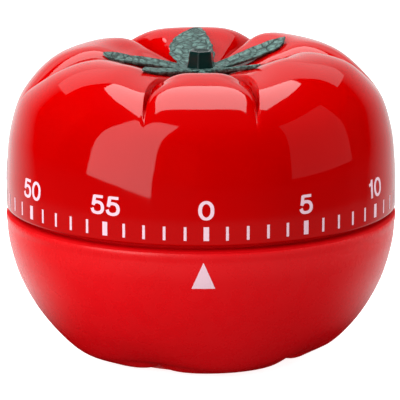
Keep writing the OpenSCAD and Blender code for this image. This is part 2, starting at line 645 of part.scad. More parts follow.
dial_cap();
calyx();
dial_hub();
lower_shell();
base_plate();
base_screws();
bottom_plate();
top_plate();
plate_pillars();
plate_nuts();
main_arbor();
great_wheel();
ratchet_wheel();
click();
click_spring();
second_wheel();
third_wheel();
escape_wheel();
pallet_lever();
balance_bar();
mainspring_barrel();
mainspring();
barrel_cover();
alarm_wheel();
hammer();
alarm_cam();
release_lever();
lever_spring();
bell_post();
bell_cup();
bell_nut();
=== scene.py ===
import bpy, bmesh, math
import numpy as np
from mathutils import Vector, Matrix


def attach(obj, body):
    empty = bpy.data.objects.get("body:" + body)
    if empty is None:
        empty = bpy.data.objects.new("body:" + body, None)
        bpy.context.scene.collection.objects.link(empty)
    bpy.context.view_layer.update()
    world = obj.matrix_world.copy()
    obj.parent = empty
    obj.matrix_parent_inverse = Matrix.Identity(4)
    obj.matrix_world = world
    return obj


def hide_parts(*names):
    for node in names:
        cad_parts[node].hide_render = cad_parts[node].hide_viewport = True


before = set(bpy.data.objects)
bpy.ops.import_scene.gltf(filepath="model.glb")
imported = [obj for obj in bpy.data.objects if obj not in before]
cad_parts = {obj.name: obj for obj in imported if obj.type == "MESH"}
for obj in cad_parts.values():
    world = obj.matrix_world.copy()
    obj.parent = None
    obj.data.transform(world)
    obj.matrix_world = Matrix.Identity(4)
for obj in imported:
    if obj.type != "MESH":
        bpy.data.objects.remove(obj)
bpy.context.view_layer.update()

MM = 0.001

# ---------------------------------------------------------------- casing surfaces
# Profiles as (radius, height) in mm, as in the CAD: over the middle of a lobe and down in a crease, outside
# and inside, from the seam to the hole in the top or to the base. A point of a surface is named by its step s
# along the profiles, the number i of its lobe, and its phase p across the lobe, from crease (0) to crease (1).
CAP_LOBE = [(32.2, 25.2), (32.15, 31), (31.5, 38), (29.4, 44.3), (24.8, 49.2), (18.3, 51.2), (13, 49.9),
            (9, 48.4), (5, 47.2)]
CAP_GROOVE = [(32.2, 25.2), (32.15, 31.0), (31.48, 37.8), (29.36, 43.7), (25.0, 46.2), (18.5, 46.1),
              (13, 46.7), (8, 47.1), (5, 47.2)]
CAP_LOBE_IN = [(30.95, 25.2), (30.7, 31), (29.6, 37.6), (27.4, 42.6), (23.4, 46.9), (18.2, 48.9), (12.9, 47.4),
               (8.6, 44.8)]
CAP_GROOVE_IN = [(30.95, 25.2), (30.4, 30), (29.2, 34.4), (27.0, 38.4), (23.2, 41.2), (18.2, 42.9),
                 (12.9, 44.2), (8.6, 44.8)]
SHELL_LOBE = [(32.2, 24.0), (31.7, 19), (29.9, 13), (26.6, 7.2), (22.2, 2.4), (18.0, 0.5), (14.7, 0.5)]
SHELL_GROOVE = [(32.2, 24.0), (31.7, 19), (29.8, 13), (26.3, 7.4), (21.3, 3.1), (17.4, 1.9), (14.7, 1.5)]
SHELL_LOBE_IN = [(29.4, 24), (29.3, 19), (27.6, 13.4), (24.4, 8.4), (20.6, 5.2), (17.4, 3.6)]
SHELL_GROOVE_IN = [(29.4, 24), (29.3, 19), (27.2, 13.6), (24.0, 8.7), (20.9, 5.7), (17.4, 3.6)]
# Azimuths of the creases in degrees from the front, and each cap lobe's extra height (mm) and lean.
CAP_CREASES = [-24, 24, 93, 155, 214, 275, 336]
CAP_RISE = [-0.8, 0.3, 0, 0, -0.3, -0.5]
CAP_SKEW = [0, 0.05, 0, 0, -0.1, -0.11]
SHELL_CREASES = [-24, 52, 122, 190, 262, 336]
FRONT, RIGHT, LEFT = 0, 1, 5
# Low down, the front lobe's left crease turns PINCH degrees towards the front, and its right crease turns by
# RIGHT_PINCH times that.
PINCH, RIGHT_PINCH = 5.5, -1.3
# Share of a lobe's height that the raised bed of the creases takes, and the height of the flanks' step.
BED_HEIGHT, FLANK_STEP = 0.52, 0.66
HOLE_RADIUS, HOLE_TOP, HOLE_BOTTOM = 4.9, 47.15, 44.8
FLOOR_RADIUS, FLOOR_LOW, FLOOR_HIGH = 14.6, 0.8, 3.6


def curve(pts, s):
    """Points at steps s of a smooth curve through pts."""
    p = np.array(pts, float)
    p = np.vstack([2 * p[0] - p[1], p, 2 * p[-1] - p[-2]])
    s = np.asarray(s, float)
    i = np.clip(np.floor(s).astype(int), 0, len(p) - 4)
    t = (s - i)[..., None]
    a, b, c, d = p[i], p[i + 1], p[i + 2], p[i + 3]
    return 0.5 * (2 * b + (c - a) * t + (2 * a - 5 * b + 4 * c - d) * t * t + (3 * b - a - 3 * c + d) * t ** 3)


def smooth(x):
    x = np.clip(x, 0, 1)
    return x * x * (3 - 2 * x)


def rise(s, start, span):
    """Smooth step from 0 to 1 that begins at start and takes span."""
    return smooth((s - start) / span)


def lobe_round(c, n):
    """Round section over a lobe, squarer for a higher n."""
    return np.sqrt(np.maximum(0, 1 - (1 - c) ** n))


def place(r, z, th):
    """Point at a radius, a height and an azimuth from the front."""
    return np.stack([r * np.sin(th), -r * np.cos(th), z], -1)


def azimuth(creases, i, p, pinch=0.0):
    """Azimuth of phase p of lobe i; the two creases of the front lobe lie nearer by pinch degrees."""
    t = np.array(creases, float)
    shift = np.zeros(len(t))
    shift[0], shift[1], shift[-1] = 1, RIGHT_PINCH, 1
    a, b = t[i] + shift[i] * pinch, t[i + 1] + shift[i + 1] * pinch
    return np.radians(a + (b - a) * p)


def pinch_at(s):
    return PINCH * smooth((5.2 - s) / 2.4)


def cap_weight(s, i, p):
    """Share of the lobe's profile against the crease's: 0 down in a crease, 1 over the middle of a lobe.

    Low on the cap every lobe is a soft wave. Above that the lobes are round, with the front one fullest, and
    its neighbours meet it in gentle flanks with a small step. Over the top the creases run in a raised bed.
    """
    p = p + np.array(CAP_SKEW)[i] * np.sin(np.pi * p) ** 2
    c = np.sin(np.pi * p)
    flank = ((i == RIGHT) & (p < 0.5)) | ((i == LEFT) & (p > 0.5))
    onset = np.where(flank | (i == FRONT), rise(s, 2.3, 1.5), rise(s, 2.4, np.where(i == RIGHT, 1.9, 2.4)))
    fullness = np.where(i == FRONT, 5.0 - 3.0 * rise(s, 3.7, 1.1) - 2.6 * (1 - rise(s, 2.8, 0.8)), 2.8)
    bed = rise(s, 3.9, 1.1) * (1 - rise(s, 6.6, 1.0))
    floor = BED_HEIGHT * bed
    full = lobe_round(c, fullness)
    full = np.where(i == FRONT, floor + (1 - floor) * full ** (1 + 1.6 * bed), full)
    step = floor + (FLANK_STEP - floor) * smooth(c / 0.05)
    gentle = step + (1 - step) * c ** 1.1
    rounder = 0.35 * rise(s, 5.2, 1.2)
    upper = np.where(flank, gentle * (1 - rounder) + (floor + (1 - floor) * full) * rounder, full)
    return c ** 1.2 * (1 - onset) + upper * onset


def between(groove, lobe, s, w):
    """Radius and height at step s, w of the way from the crease's profile to the lobe's."""
    g, l = curve(groove, s), curve(lobe, s)
    return g + (l - g) * w[..., None]


def cap_point(groove, lobe, s, i, p, w, steps):
    """Point of the cap, raised by its lobe's own height along so many steps of the profile."""
    q = between(groove, lobe, s, w)
    z = q[..., 1] + np.array(CAP_RISE)[i] * w * np.sin(np.pi * np.clip((s - 1) / steps, 0, 1))
    return place(q[..., 0], z, azimuth(CAP_CREASES, i, p, pinch_at(s)))


def cap_outer(s, i, p):
    return cap_point(CAP_GROOVE, CAP_LOBE, s, i, p, cap_weight(s, i, p), 7)


def cap_inner(s, i, p):
    return cap_point(CAP_GROOVE_IN, CAP_LOBE_IN, s, i, p, np.sin(np.pi * p) ** 1.7, 6)


def shell_outer(s, i, p):
    c = np.sin(np.pi * p)
    low = rise(s, 4.2, 1.0)
    q = between(SHELL_GROOVE, SHELL_LOBE, s, c ** 1.8 * (1 - low) + lobe_round(c, 2.4) * low)
    return place(q[..., 0], q[..., 1], azimuth(SHELL_CREASES, i, p))


def shell_inner(s, i, p):
    q = between(SHELL_GROOVE_IN, SHELL_LOBE_IN, s, np.sin(np.pi * p) ** 1.7)
    return place(q[..., 0], q[..., 1], azimuth(SHELL_CREASES, i, p))


class Casing:
    """Columns of points round a casing half, closest together in its creases."""

    def __init__(self, creases, per_lobe=40):
        lobes = len(creases) - 1
        phase = 0.5 - 0.5 * np.cos(np.pi * np.arange(per_lobe) / per_lobe)
        self.creases = creases
        self.i, self.p = np.repeat(np.arange(lobes), per_lobe), np.tile(phase, lobes)

    def rows(self, surface, steps):
        return [surface(np.full(len(self.i), float(s)), self.i, self.p) for s in steps]

    def circles(self, profile):
        th = azimuth(self.creases, self.i, self.p)
        return [place(np.full(len(th), float(r)), np.full(len(th), float(z)), th) for r, z in profile]


# ---------------------------------------------------------------- meshes
def new_object(name, verts, faces, body):
    """Smooth-shaded object from points in mm, riding on a body."""
    me = bpy.data.meshes.new(name)
    points = [tuple(float(x) * MM for x in v) for v in verts]
    me.from_pydata(points, [], [tuple(int(k) for k in f) for f in faces])
    me.validate()
    me.update()
    me.polygons.foreach_set("use_smooth", [True] * len(me.polygons))
    ob = bpy.data.objects.new(name, me)
    bpy.context.scene.collection.objects.link(ob)
    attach(ob, body)
    return ob


def solid_object(name, verts, faces, body, sharp=None):
    """Object with its normals outward, and its edges sharp where they turn by more than so many degrees."""
    ob = new_object(name, verts, faces, body)
    bm = bmesh.new()
    bm.from_mesh(ob.data)
    bmesh.ops.recalc_face_normals(bm, faces=bm.faces)
    for e in bm.edges:
        if sharp and len(e.link_faces) == 2 and e.calc_face_angle(0) > math.radians(sharp):
            e.smooth = False
    bm.to_mesh(ob.data)
    bm.free()
    return ob


def grid(base, rows, columns, flip=False):
    """Faces of rows by columns cells, whose corners are numbered row by row from base."""
    w = columns + 1
    faces = []
    for j in range(rows):
        for k in range(columns):
            a = base + j * w + k
            faces.append((a, a + w, a + w + 1, a + 1) if flip else (a, a + 1, a + w + 1, a + w))
    return faces


def ring_object(name, rows, body, sharp):
    """Closed skin through rows of points, which go round the axis and then back through the inside."""
    m, n = len(rows), len(rows[0])
    faces = []
    for a in range(m):
        b = (a + 1) % m
        for j in range(n):
            k = (j + 1) % n
            faces.append((a * n + j, a * n + k, b * n + k, b * n + j))
    return solid_object(name, np.concatenate(rows), faces, body, sharp)


def lathe(name, profile, n, body, sharp, wobble):
    """Turned piece with n sides; wobble(azimuth, height) scales its radius."""
    verts = []
    for r, z in profile:
        for k in range(n):
            a = 2 * math.pi * k / n
            verts.append((r * wobble(a, z) * math.sin(a), -r * wobble(a, z) * math.cos(a), z))
    faces = []
    for j in range(len(profile) - 1):
        for k in range(n):
            a, b = j * n + k, j * n + (k + 1) % n
            faces.append((a, b, b + n, a + n))
    faces.append(tuple(range(n - 1, -1, -1)))
    faces.append(tuple((len(profile) - 1) * n + k for k in range(n)))
    return solid_object(name, verts, faces, body, sharp)


# ---------------------------------------------------------------- materials
def node(nt, kind, **settings):
    """New node; each setting is an input's constant or an attribute."""
    n = nt.nodes.new(kind)
    for k, v in settings.items():
        if k in n.inputs:
            n.inputs[k].default_value = v
        else:
            setattr(n, k, v)
    return n


def empty_tree(data):
    data.use_nodes = True
    data.node_tree.nodes.clear()
    return data.node_tree


def material(name):
    m = bpy.data.materials.new(name)
    nt = empty_tree(m)
    out = node(nt, "ShaderNodeOutputMaterial")
    b = node(nt, "ShaderNodeBsdfPrincipled")
    nt.links.new(b.outputs[0], out.inputs[0])
    return m, nt, b


def noise(nt, scale, detail, rough=0.5):
    tc = node(nt, "ShaderNodeTexCoord")
    n = node(nt, "ShaderNodeTexNoise", Scale=scale, Detail=detail, Roughness=rough)
    nt.links.new(tc.outputs["Object"], n.inputs["Vector"])
    return n


def ramp(nt, src, stops):
    r = node(nt, "ShaderNodeValToRGB")
    el = r.color_ramp.elements
    el[0].position, el[0].color = stops[0]
    el[1].position, el[1].color = stops[-1]
    for pos, col in stops[1:-1]:
        el.new(pos).color = col
    nt.links.new(src, r.inputs[0])
    return r


def drift(nt, src, low, high, target):
    """Drive a socket from low to high by a noise."""
    nt.links.new(ramp(nt, src, [(0.3, low), (0.7, high)]).outputs[0], target)


def grey(v):
    return (v, v, v, 1)


def bump(nt, b, src, strength, depth):
    n = node(nt, "ShaderNodeBump", Strength=strength, Distance=depth)
    nt.links.new(src, n.inputs["Height"])
    nt.links.new(n.outputs[0], b.inputs["Normal"])


def plastic(name, col_a, col_b, rough_a, rough_b, grain=0.0, grain_scale=6000, spec=0.5):
    """Moulded plastic, whose colour drifts slowly and whose roughness drifts finely, with any grain."""
    m, nt, b = material(name)
    drift(nt, noise(nt, 55, 2).outputs[0], (*col_a, 1), (*col_b, 1), b.inputs["Base Color"])
    drift(nt, noise(nt, 420, 4).outputs[0], grey(rough_a), grey(rough_b), b.inputs["Roughness"])
    b.inputs["Specular IOR Level"].default_value = spec
    if grain:
        bump(nt, b, noise(nt, grain_scale, 3).outputs[0], grain, 0.00004)
    return m


def metal(name, col_a, col_b, rough_a, rough_b, lines):
    """Metal with brushed lines."""
    m, nt, b = material(name)
    b.inputs["Metallic"].default_value = 1.0
    drift(nt, noise(nt, 900, 5, 0.6).outputs[0], (*col_a, 1), (*col_b, 1), b.inputs["Base Color"])
    tc = node(nt, "ShaderNodeTexCoord")
    stretch = node(nt, "ShaderNodeMapping", Scale=(300, 9000, 900))
    brushed = node(nt, "ShaderNodeTexNoise", Scale=1.0, Detail=4)
    nt.links.new(tc.outputs["Object"], stretch.inputs[0])
    nt.links.new(stretch.outputs[0], brushed.inputs["Vector"])
    drift(nt, brushed.outputs[0], grey(rough_a), grey(rough_b), b.inputs["Roughness"])
    bump(nt, b, brushed.outputs[0], lines, 0.00003)
    return m


def leaf_material():
    """Grey-green leaf: pale cells with dark veins between them, both in colour and in relief."""
    m, nt, b = material("calyx_leaf")
    tc = node(nt, "ShaderNodeTexCoord")
    warp = node(nt, "ShaderNodeTexNoise", Scale=700, Detail=3)
    nt.links.new(tc.outputs["Object"], warp.inputs["Vector"])
    warped = node(nt, "ShaderNodeVectorMath", operation="MULTIPLY_ADD")
    nt.links.new(warp.outputs["Color"], warped.inputs[0])
    warped.inputs[1].default_value = (0.0009, 0.0009, 0.0009)
    nt.links.new(tc.outputs["Object"], warped.inputs[2])
    edges = node(nt, "ShaderNodeTexVoronoi", feature="DISTANCE_TO_EDGE", Scale=640)
    nt.links.new(warped.outputs[0], edges.inputs["Vector"])
    veins = ramp(nt, edges.outputs[0], [(0.01, grey(0.0)), (0.06, grey(0.65)), (0.2, grey(1.0))])
    blot = noise(nt, 1300, 6, 0.7)
    cells = ramp(nt, blot.outputs[0], [(0.40, (0.010, 0.038, 0.034, 1)), (0.50, (0.065, 0.150, 0.132, 1)),
                                       (0.62, (0.125, 0.240, 0.215, 1))])
    colour = node(nt, "ShaderNodeMix", data_type="RGBA")
    colour.inputs[6].default_value = (0.008, 0.026, 0.022, 1)
    nt.links.new(veins.outputs[0], colour.inputs[0])
    nt.links.new(cells.outputs[0], colour.inputs[7])
    nt.links.new(colour.outputs[2], b.inputs["Base Color"])
    drift(nt, blot.outputs[0], grey(0.42), grey(0.62), b.inputs["Roughness"])
    relief = node(nt, "ShaderNodeMath", operation="MULTIPLY_ADD")
    nt.links.new(blot.outputs[0], relief.inputs[0])
    relief.inputs[1].default_value = 0.5
    nt.links.new(veins.outputs[0], relief.inputs[2])
    bump(nt, b, relief.outputs[0], 0.7, 0.00018)
    return m


GLOSSY = plastic("cap_red_gloss", (0.50, 0.0002, 0.0004), (0.55, 0.0003, 0.0006), 0.035, 0.055)
SATIN = plastic("shell_red_satin", (0.78, 0.0004, 0.0032), (0.84, 0.0006, 0.0046), 0.25, 0.30)
BASE = plastic("base_red", (0.52, 0.002, 0.004), (0.60, 0.003, 0.006), 0.38, 0.50, 0.35, 5000)
# Painted shade for the seam: a darker copy of the shell's red, with its reflections nearly turned off.
PAINTED_SHADE_RED = plastic("shell_red_painted_shade", (0.60, 0.0003, 0.002), (0.66, 0.0005, 0.003), 0.5, 0.6, spec=0.05)
INK = plastic("print_ink", (0.93, 0.60, 0.70), (0.97, 0.66, 0.75), 0.40, 0.50, 0.2, 9000)
HUB = plastic("natural_acetal", (0.72, 0.70, 0.64), (0.80, 0.78, 0.72), 0.35, 0.45, 0.1, 7000)
STEM = plastic("stem_green", (0.002, 0.012, 0.011), (0.006, 0.028, 0.025), 0.14, 0.24, 0.35, 2500, spec=0.3)
STEEL = metal("plated_steel", (0.60, 0.60, 0.62), (0.70, 0.70, 0.71), 0.22, 0.38, 0.2)
TURNED = metal("turned_steel", (0.50, 0.50, 0.52), (0.60, 0.60, 0.61), 0.14, 0.26, 0.15)
BLUED = metal("blued_spring", (0.10, 0.12, 0.22), (0.17, 0.19, 0.30), 0.22, 0.34, 0.2)
NICKEL = metal("nickel_bell", (0.72, 0.70, 0.66), (0.80, 0.78, 0.74), 0.07, 0.14, 0.05)
BRASS = metal("stamped_brass", (0.72, 0.50, 0.20), (0.83, 0.60, 0.27), 0.20, 0.34, 0.2)
LEAF = leaf_material()

# ---------------------------------------------------------------- dial cap and lower shell
CAP_RIM = [(30.95, 25.45), (31.05, 25.28), (31.3, 25.2), (31.9, 25.2), (32.06, 25.23), (32.17, 25.33)]
# The shell's neck stands up inside the cap; its foot and the lip show as the seam, which is darkened with
# painted shade.
NECK = [(29.1, 27.2), (29.3, 27.4), (30.4, 27.4), (30.6, 27.2), (30.6, 24.75), (30.68, 24.6), (30.9, 24.5),
        (31.3, 24.5), (31.7, 24.42), (32.0, 24.25), (32.18, 23.95), (32.25, 23.6), (32.22, 23.1)]
# Rows of the neck's skin, from its inside to the lip, that have the painted shade: a darker, nearly unglossy
# copy of the shell's red.
PAINTED_SHADE_ROWS = 10


def dial_cap():
    half = Casing(CAP_CREASES)
    steps = np.concatenate([np.linspace(0.06, 1.5, 14), np.linspace(1.56, 8, 122)])
    rows = (half.circles(CAP_RIM) + half.rows(cap_outer, steps)
            + half.circles([(HOLE_RADIUS, HOLE_TOP), (HOLE_RADIUS, HOLE_BOTTOM)])
            + half.rows(cap_inner, np.linspace(7, 0.1, 40)))
    cap = ring_object("dial_cap_skin", rows, "dial", 60)
    cap.data.materials.append(GLOSSY)
    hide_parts("dial_cap")


def lower_shell():
    half = Casing(SHELL_CREASES)
    rows = (half.circles(NECK) + half.rows(shell_outer, np.linspace(0.3, 6, 110))
            + half.circles([(FLOOR_RADIUS, FLOOR_LOW), (FLOOR_RADIUS, FLOOR_HIGH)])
            + half.rows(shell_inner, np.linspace(5, 0.3, 30)))
    shell = ring_object("lower_shell_skin", rows, "case", 60)
    shell.data.materials.append(SATIN)
    # Painted shade: the neck and lip rows take the darker red.
    shell.data.materials.append(PAINTED_SHADE_RED)
    for poly in shell.data.polygons[:PAINTED_SHADE_ROWS * len(half.i)]:
        poly.material_index = 1
    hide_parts("lower_shell")


dial_cap()
lower_shell()


# ---------------------------------------------------------------- places on the casing
def locate(creases, th, pinch=0.0):
    """Lobe numbers and phases of azimuths in degrees."""
    c = np.array(creases, float)
    th = np.asarray(th, float)
    pinch = np.broadcast_to(np.asarray(pinch, float), th.shape)
    a = np.mod(th - c[0] - pinch, 360) + c[0] + pinch
    lo = np.repeat(c[None, :-1], th.size, 0).reshape(th.shape + (-1,))
    lo[..., 0] += pinch
    lo[..., 1] += RIGHT_PINCH * pinch
    i = np.clip((a[..., None] >= lo).sum(-1) - 1, 0, len(c) - 2)
    hi = np.concatenate([lo[..., 1:], (lo[..., :1] + 360)], -1)
    left = np.take_along_axis(lo, i[..., None], -1)[..., 0]
    right = np.take_along_axis(hi, i[..., None], -1)[..., 0]
    return i, (a - left) / (right - left)


def on_surface(surface, creases, th, z, last_step, lift):
    """Points at heights z (mm) and azimuths th (degrees) on a casing surface, lifted off it."""
    z = np.asarray(z, float)
    lo, hi = np.zeros(len(z)), np.full(len(z), float(last_step))
    up = 1 if surface is cap_outer else -1
    for _ in range(26):
        mid = (lo + hi) / 2
        i, p = locate(creases, th, pinch_at(mid) if surface is cap_outer else 0)
        low = (surface(mid, i, p)[:, 2] - z) * up < 0
        lo, hi = np.where(low, mid, lo), np.where(low, hi, mid)
    q = surface(lo, i, p)
    k = 1 + lift / np.hypot(q[:, 0], q[:, 1])
    return np.stack([q[:, 0] * k, q[:, 1] * k, q[:, 2]], -1)


def cap_height(x, y):
    """Height of the cap's top surface over points (mm)."""
    r = np.hypot(x, y)
    lo, hi = np.full(r.shape, 3.0), np.full(r.shape, 8.0)
    for _ in range(22):
        mid = (lo + hi) / 2
        i, p = locate(CAP_CREASES, np.degrees(np.arctan2(x, -y)), pinch_at(mid))
        q = cap_outer(mid, i, p)
        out = np.hypot(q[..., 0], q[..., 1]) > r
        lo, hi = np.where(out, mid, lo), np.where(out, hi, mid)
    rim_radius, rim_height = CAP_LOBE[-1][0] + 0.1, CAP_LOBE[-1][1]
    return np.where(r < rim_radius, rim_height, cap_outer(lo, i, p)[..., 2])


# ---------------------------------------------------------------- print on the cap and the shell
# All in mm, apart from the angles DIAL_OFFSET and POINTER_AT in degrees.
DIAL_RADIUS = 32.2
DIAL_OFFSET = 0.9
INK_LIFT = 0.035
TICK_BOTTOM, TICK_TOP = 26.15, 28.4
TICK_HALF, FIVE_HALF = 0.22, 0.44
DIGIT_BOTTOM, DIGIT_HEIGHT, DIGIT_WIDTH, ONE_WIDTH, DIGIT_GAP = 29.53, 3.08, 2.5, 1.5, 0.32
POINTER_BOTTOM, POINTER_HEIGHT, POINTER_HALF, POINTER_TIP_HALF, POINTER_AT = 18.15, 4.33, 1.9, 0.04, 0.1
# Strokes of the digits in a unit box: straight lines, curved bows, and the ring of the 0.
STROKES = {
    "0": [("ring", None)],
    "1": [("line", [(0.68, 1), (0.68, 0)]), ("bow", [(0.68, 0.93), (0.5, 0.79), (0.12, 0.72)])],
    "2": [("bow", [(0.10, 0.66), (0.18, 0.86), (0.48, 0.935), (0.80, 0.86), (0.885, 0.69), (0.76, 0.49),
                   (0.36, 0.24), (0.13, 0.05)]),
          ("line", [(0.06, 0.068), (0.97, 0.068)])],
    "3": [("bow", [(0.11, 0.70), (0.22, 0.88), (0.50, 0.935), (0.77, 0.87), (0.84, 0.72), (0.72, 0.57),
                   (0.38, 0.53)]),
          ("bow", [(0.38, 0.53), (0.74, 0.50), (0.89, 0.30), (0.77, 0.12), (0.5, 0.066), (0.21, 0.12),
                   (0.105, 0.30)])],
    "4": [("line", [(0.72, 1), (0.72, 0)]), ("line", [(0.66, 0.93), (0.08, 0.26)]),
          ("line", [(0.02, 0.27), (1, 0.27)])],
    "5": [("line", [(0.24, 0.932), (0.9, 0.932)]), ("line", [(0.285, 0.97), (0.19, 0.45)]),
          ("bow", [(0.15, 0.49), (0.30, 0.60), (0.54, 0.635), (0.79, 0.56), (0.892, 0.34), (0.79, 0.14),
                   (0.50, 0.066), (0.22, 0.12), (0.106, 0.29)])],
}


def printed(name, points, faces, body):
    ob = new_object(name, points, faces, body)
    ob.data.materials.append(INK)


def on_cap(flat):
    """Points (mm along the circumference from the dial's zero, height) laid on the cap."""
    flat = np.array(flat)
    th = DIAL_OFFSET + np.degrees(flat[:, 0] / DIAL_RADIUS)
    return on_surface(cap_outer, CAP_CREASES, th, flat[:, 1], 2.2, INK_LIFT)


def along_dial(minute):
    return math.radians(6 * minute) * DIAL_RADIUS


def minute_ticks():
    verts, faces = [], []
    across, up = 3, 6
    for minute in range(60):
        half = FIVE_HALF if minute % 5 == 0 else TICK_HALF
        faces += grid(len(verts), up, across)
        for j in range(up + 1):
            for k in range(across + 1):
                verts.append((along_dial(minute) + half * (2 * k / across - 1),
                              TICK_BOTTOM + (TICK_TOP - TICK_BOTTOM) * j / up))
    printed("minute_ticks", on_cap(verts), faces, "dial")


def stroke_points(kind, points):
    """Points along a stroke, in the digit's unit box."""
    if kind == "ring":
        a = np.linspace(0, 2 * np.pi, 41)
        flattened = np.sign(np.sin(a)) * np.abs(np.sin(a)) ** 0.88
        return np.stack([0.5 + 0.394 * np.cos(a), 0.5 + 0.432 * flattened], -1)
    if kind == "bow":
        return curve(points, np.linspace(0, len(points) - 1, 5 * len(points)))
    return np.linspace(*points, 6)


def ribbon(q):
    """Pairs of points beside the line q, further apart where it is upright than where it is level."""
    d = np.gradient(q, axis=0)
    d /= np.hypot(d[:, 0], d[:, 1])[:, None]
    side = np.stack([-d[:, 1], d[:, 0]], -1) * (0.235 + 0.065 * np.abs(d[:, 1]))[:, None]
    return np.stack([q + side, q - side], 1).reshape(-1, 2)


def minute_numerals():
    verts, faces = [], []
    for minute in range(0, 60, 5):
        text = str(minute)
        widths = [ONE_WIDTH if ch == "1" else DIGIT_WIDTH for ch in text]
        x = along_dial(minute) - (sum(widths) + DIGIT_GAP * (len(text) - 1)) / 2
        for ch, width in zip(text, widths):
            for kind, points in STROKES[ch]:
                q = stroke_points(kind, points) * (width, DIGIT_HEIGHT) + (x, DIGIT_BOTTOM)
                faces += grid(len(verts), len(q) - 1, 1)
                verts.extend(ribbon(q))
            x += width + DIGIT_GAP
    printed("minute_numerals", on_cap(verts), faces, "dial")


def pointer_mark():
    across, up = 8, 10
    verts = []
    for j in range(up + 1):
        half = POINTER_HALF * (1 - j / up) + POINTER_TIP_HALF
        for k in range(across + 1):
            th = POINTER_AT + math.degrees((2 * k / across - 1) * half / DIAL_RADIUS)
            verts.append((th, POINTER_BOTTOM + POINTER_HEIGHT * j / up))
    verts = np.array(verts)
    points = on_surface(shell_outer, SHELL_CREASES, verts[:, 0], verts[:, 1], 3, INK_LIFT)
    printed("pointer_mark", points, grid(0, up, across), "case")


minute_ticks()
minute_numerals()
pointer_mark()

# ---------------------------------------------------------------- calyx
# Each leaf: azimuth from the front, length, tip height, roll of the blade in degrees, lift of its middle, and
# its outline as (share of the length, half width, sideways shift of the middle).
LEAVES = [
    (180, 16.3, 51.45, -2, 1.0, [(0, 2.6, 0.6), (0.3, 3.75, 1.45), (0.51, 3.4, 1.65), (0.75, 2.55, 1.4),
                                 (0.88, 1.8, 1.0), (0.97, 1.0, 0.6), (1, 0.35, 0.5)]),
    (113.5, 15.8, 51.6, 12, -0.3, [(0, 1.5, 0), (0.3, 1.75, -0.2), (0.6, 1.75, 0), (0.84, 1.65, 0.2),
                                   (0.93, 1.1, 0.6), (1, 0.15, 1.1)]),
    (35, 16.4, 51.1, 2, -0.2, [(0, 1.5, 0), (0.3, 1.7, 0), (0.6, 1.2, 0), (0.85, 0.6, 0), (1, 0.12, 0)]),
    (-33, 17.6, 50.3, -3, 0.0, [(0, 1.6, 0), (0.3, 2.0, 0), (0.6, 1.8, 0), (0.85, 1.1, 0), (1, 0.15, 0)]),
    (-90.5, 16.1, 50.0, -8, 0.2, [(0, 1.5, 0), (0.3, 2.0, 0.3), (0.6, 1.75, 0.3), (0.87, 1.0, 0.1),
                                  (1, 0.15, 0)]),
]
LEAF_ROWS, LEAF_COLUMNS = 56, 20
LEAF_ROOT, LEAF_ROOT_HEIGHT = 1.2, 47.75
LEAF_THICK, LEAF_CLEAR = 0.5, 0.58
COLLAR = [(2.0, 41.2), (2.0, 45.0), (4.4, 45.0), (4.4, 47.25), (5.0, 47.35), (5.6, 47.5), (5.75, 47.65),
          (5.5, 47.8), (4.6, 47.9), (3.4, 48.0), (2.6, 48.1)]
STEM_PROFILE = [(2.8, 47.5), (2.62, 47.8), (2.42, 48.0), (2.3, 48.4), (2.16, 49.1), (2.06, 49.9), (2.0, 50.35),
                (1.95, 50.6), (1.8, 50.78), (1.5, 50.8), (1.2, 50.62), (0.6, 50.5)]


def leaf_skins(n, az, length, tip, roll_deg, lift, outline):
    """Upper and lower skin of leaf n as grids of points, with a midrib, side veins and a thin edge."""
    t = np.linspace(0, 1, LEAF_ROWS + 1)[:, None]
    s = np.linspace(-1, 1, LEAF_COLUMNS + 1)[None, :]
    edge = np.abs(s)
    ts, halves, shifts = zip(*outline)
    half = np.interp(t, ts, halves) * (1 + 0.03 * np.sin(31 * t + 2.1 * n) + 0.02 * np.sin(73 * t + n))
    roll = math.radians(roll_deg) * smooth(t * 1.3)
    reach = LEAF_ROOT + (length - LEAF_ROOT) * t
    aside = np.interp(t, ts, shifts) + half * s * np.cos(roll)
    th = math.radians(az)
    x = math.sin(th) * reach + math.cos(th) * aside
    y = -math.cos(th) * reach + math.sin(th) * aside
    middle = LEAF_ROOT_HEIGHT + (tip - LEAF_ROOT_HEIGHT) * t ** 1.25 + lift * np.sin(np.pi * t) * 0.6
    cupping = 0.35 * edge ** 1.6 * np.sin(np.pi * np.minimum(1, t * 1.1))
    rib = -0.16 * np.exp(-(s / 0.13) ** 2) * (1 - t)
    veins = 0.07 * np.cos(2 * np.pi * (7.5 * t - 1.6 * edge)) * np.minimum(1, edge * 3) * (1 - edge ** 6)
    z = np.maximum(middle + half * s * np.sin(roll) + cupping + rib + veins, cap_height(x, y) + LEAF_CLEAR)
    thick = LEAF_THICK * np.minimum(1, (1 - edge) * 4 + 0.35) * np.minimum(1, (1 - t) * 10 + 0.35)
    return np.stack([x, y, z], -1), np.stack([x, y, z - thick], -1)


def calyx_leaves():
    verts, faces = [], []
    w = LEAF_COLUMNS + 1
    border = (list(range(LEAF_COLUMNS))
              + [a * w + LEAF_COLUMNS for a in range(LEAF_ROWS)]
              + [LEAF_ROWS * w + b for b in range(LEAF_COLUMNS, 0, -1)]
              + [a * w for a in range(LEAF_ROWS, 0, -1)])
    for n, leaf in enumerate(LEAVES):
        top, bottom = leaf_skins(n, *leaf)
        base, under = len(verts), len(verts) + (LEAF_ROWS + 1) * w
        verts.extend(top.reshape(-1, 3))
        verts.extend(bottom.reshape(-1, 3))
        faces += grid(base, LEAF_ROWS, LEAF_COLUMNS) + grid(under, LEAF_ROWS, LEAF_COLUMNS, flip=True)
        faces += [(base + b, base + a, under + a, under + b) for a, b in zip(border, border[1:] + border[:1])]
    leaves = solid_object("calyx_leaves", verts, faces, "dial")
    leaves.data.materials.append(LEAF)
    return leaves


def collar_wobble(a, z):
    """Uneven edge where the leaves join; the peg below it is round."""
    return 1 + 0.035 * math.sin(5 * a + 0.6) + 0.02 * math.sin(13 * a) if z > 47.4 else 1


